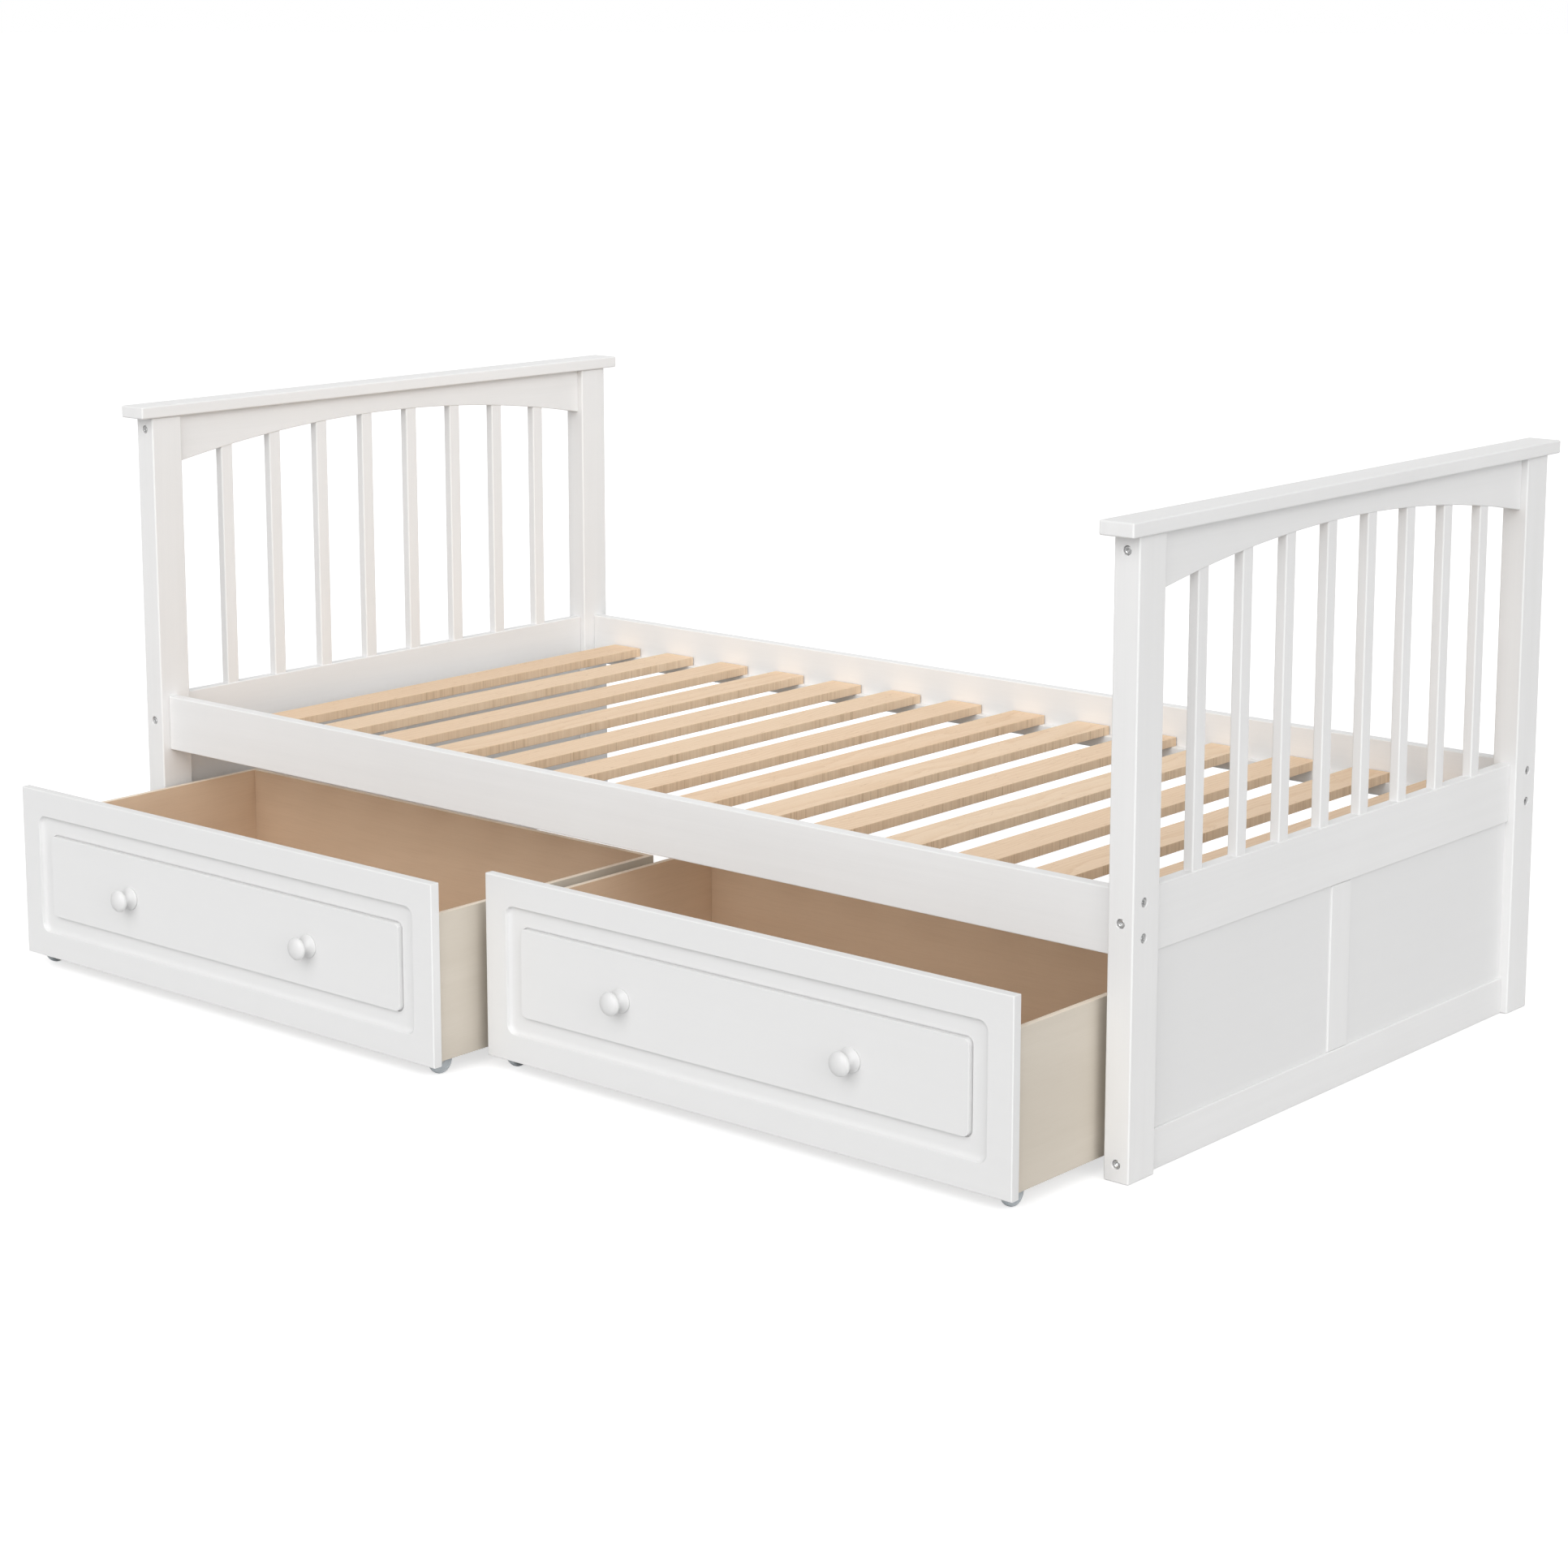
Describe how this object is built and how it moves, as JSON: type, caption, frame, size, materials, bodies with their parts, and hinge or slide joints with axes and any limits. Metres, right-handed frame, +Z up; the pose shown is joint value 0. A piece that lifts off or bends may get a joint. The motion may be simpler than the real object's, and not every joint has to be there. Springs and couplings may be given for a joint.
{
  "type": "bed frame",
  "caption": "Painted wooden single bed frame with a slatted headboard and footboard, natural wood slats and two wide rolling drawers under one side.",
  "frame": {"origin": "centre of the footprint at floor level with both drawers part open as stored, knobs and caps included", "axes": "+X from the headboard to the footboard, +Y away from the side that the drawers open to, +Z up"},
  "size_m": [2.014, 1.419, 0.88],
  "materials": {
    "white_paint": "satin white paint over wood, faint grain and brush texture, eased edges",
    "slat_wood": "planed pale pine, unfinished, with fine straight grain",
    "drawer_board": "clear-sealed plywood, fine pale grain, cooler on the outside",
    "castor_grey": "smooth moulded grey plastic",
    "castor_steel": "zinc-plated pressed steel"
  },
  "bodies": {
    "bed_frame": {"headboard_front_post": "white_paint", "headboard_rear_post": "white_paint", "headboard_cap": "white_paint", "headboard_arch_and_spindles": "white_paint", "headboard_middle_rail": "white_paint", "headboard_bottom_rail": "white_paint", "headboard_panel": "white_paint", "footboard_front_post": "white_paint", "footboard_rear_post": "white_paint", "footboard_cap": "white_paint", "footboard_arch_and_spindles": "white_paint", "footboard_middle_rail": "white_paint", "footboard_bottom_rail": "white_paint", "footboard_panel": "white_paint", "front_side_rail": "white_paint", "rear_side_rail": "white_paint", "slat_01": "slat_wood", "slat_02": "slat_wood", "slat_03": "slat_wood", "slat_04": "slat_wood", "slat_05": "slat_wood", "slat_06": "slat_wood", "slat_07": "slat_wood", "slat_08": "slat_wood", "slat_09": "slat_wood", "slat_10": "slat_wood", "slat_11": "slat_wood", "slat_12": "slat_wood", "slat_13": "slat_wood", "slat_14": "slat_wood"},
    "left_drawer": {"left_drawer_front": "white_paint", "left_drawer_left_side": "drawer_board", "left_drawer_right_side": "drawer_board", "left_drawer_back": "drawer_board", "left_drawer_bottom": "drawer_board", "left_drawer_left_knob": "white_paint", "left_drawer_right_knob": "white_paint", "left_drawer_front_left_bracket": "castor_steel", "left_drawer_front_right_bracket": "castor_steel", "left_drawer_rear_left_bracket": "castor_steel", "left_drawer_rear_right_bracket": "castor_steel"},
    "left_drawer_front_left_wheel": {"left_drawer_front_left_wheel": "castor_grey"},
    "left_drawer_front_right_wheel": {"left_drawer_front_right_wheel": "castor_grey"},
    "left_drawer_rear_left_wheel": {"left_drawer_rear_left_wheel": "castor_grey"},
    "left_drawer_rear_right_wheel": {"left_drawer_rear_right_wheel": "castor_grey"},
    "right_drawer": {"right_drawer_front": "white_paint", "right_drawer_left_side": "drawer_board", "right_drawer_right_side": "drawer_board", "right_drawer_back": "drawer_board", "right_drawer_bottom": "drawer_board", "right_drawer_left_knob": "white_paint", "right_drawer_right_knob": "white_paint", "right_drawer_front_left_bracket": "castor_steel", "right_drawer_front_right_bracket": "castor_steel", "right_drawer_rear_left_bracket": "castor_steel", "right_drawer_rear_right_bracket": "castor_steel"},
    "right_drawer_front_left_wheel": {"right_drawer_front_left_wheel": "castor_grey"},
    "right_drawer_front_right_wheel": {"right_drawer_front_right_wheel": "castor_grey"},
    "right_drawer_rear_left_wheel": {"right_drawer_rear_left_wheel": "castor_grey"},
    "right_drawer_rear_right_wheel": {"right_drawer_rear_right_wheel": "castor_grey"}
  },
  "joints": [
    {"name": "left_drawer_slide", "type": "slide", "parent": "bed_frame", "child": "left_drawer", "axis": [0, -1, 0], "range_m": [-0.306, 0.192]},
    {"name": "left_drawer_front_left_wheel_roll", "type": "hinge", "parent": "left_drawer", "child": "left_drawer_front_left_wheel", "pos_m": [-0.9287, -0.642, 0.02], "axis": [1, 0, 0], "continuous": true},
    {"name": "left_drawer_front_right_wheel_roll", "type": "hinge", "parent": "left_drawer", "child": "left_drawer_front_right_wheel", "pos_m": [-0.0313, -0.642, 0.02], "axis": [1, 0, 0], "continuous": true},
    {"name": "left_drawer_rear_left_wheel_roll", "type": "hinge", "parent": "left_drawer", "child": "left_drawer_rear_left_wheel", "pos_m": [-0.9287, -0.2335, 0.02], "axis": [1, 0, 0], "continuous": true},
    {"name": "left_drawer_rear_right_wheel_roll", "type": "hinge", "parent": "left_drawer", "child": "left_drawer_rear_right_wheel", "pos_m": [-0.0313, -0.2335, 0.02], "axis": [1, 0, 0], "continuous": true},
    {"name": "right_drawer_slide", "type": "slide", "parent": "bed_frame", "child": "right_drawer", "axis": [0, -1, 0], "range_m": [-0.2085, 0.277]},
    {"name": "right_drawer_front_left_wheel_roll", "type": "hinge", "parent": "right_drawer", "child": "right_drawer_front_left_wheel", "pos_m": [0.0313, -0.5445, 0.02], "axis": [1, 0, 0], "continuous": true},
    {"name": "right_drawer_front_right_wheel_roll", "type": "hinge", "parent": "right_drawer", "child": "right_drawer_front_right_wheel", "pos_m": [0.9287, -0.5445, 0.02], "axis": [1, 0, 0], "continuous": true},
    {"name": "right_drawer_rear_left_wheel_roll", "type": "hinge", "parent": "right_drawer", "child": "right_drawer_rear_left_wheel", "pos_m": [0.0313, -0.136, 0.02], "axis": [1, 0, 0], "continuous": true},
    {"name": "right_drawer_rear_right_wheel_roll", "type": "hinge", "parent": "right_drawer", "child": "right_drawer_rear_right_wheel", "pos_m": [0.9287, -0.136, 0.02], "axis": [1, 0, 0], "continuous": true}
  ],
  "couplings": [
    {"joint": "left_drawer_front_left_wheel_roll", "follows": "left_drawer_slide", "rad_per_m": 50},
    {"joint": "left_drawer_front_right_wheel_roll", "follows": "left_drawer_slide", "rad_per_m": 50},
    {"joint": "left_drawer_rear_left_wheel_roll", "follows": "left_drawer_slide", "rad_per_m": 50},
    {"joint": "left_drawer_rear_right_wheel_roll", "follows": "left_drawer_slide", "rad_per_m": 50},
    {"joint": "right_drawer_front_left_wheel_roll", "follows": "right_drawer_slide", "rad_per_m": 50},
    {"joint": "right_drawer_front_right_wheel_roll", "follows": "right_drawer_slide", "rad_per_m": 50},
    {"joint": "right_drawer_rear_left_wheel_roll", "follows": "right_drawer_slide", "rad_per_m": 50},
    {"joint": "right_drawer_rear_right_wheel_roll", "follows": "right_drawer_slide", "rad_per_m": 50}
  ]
}
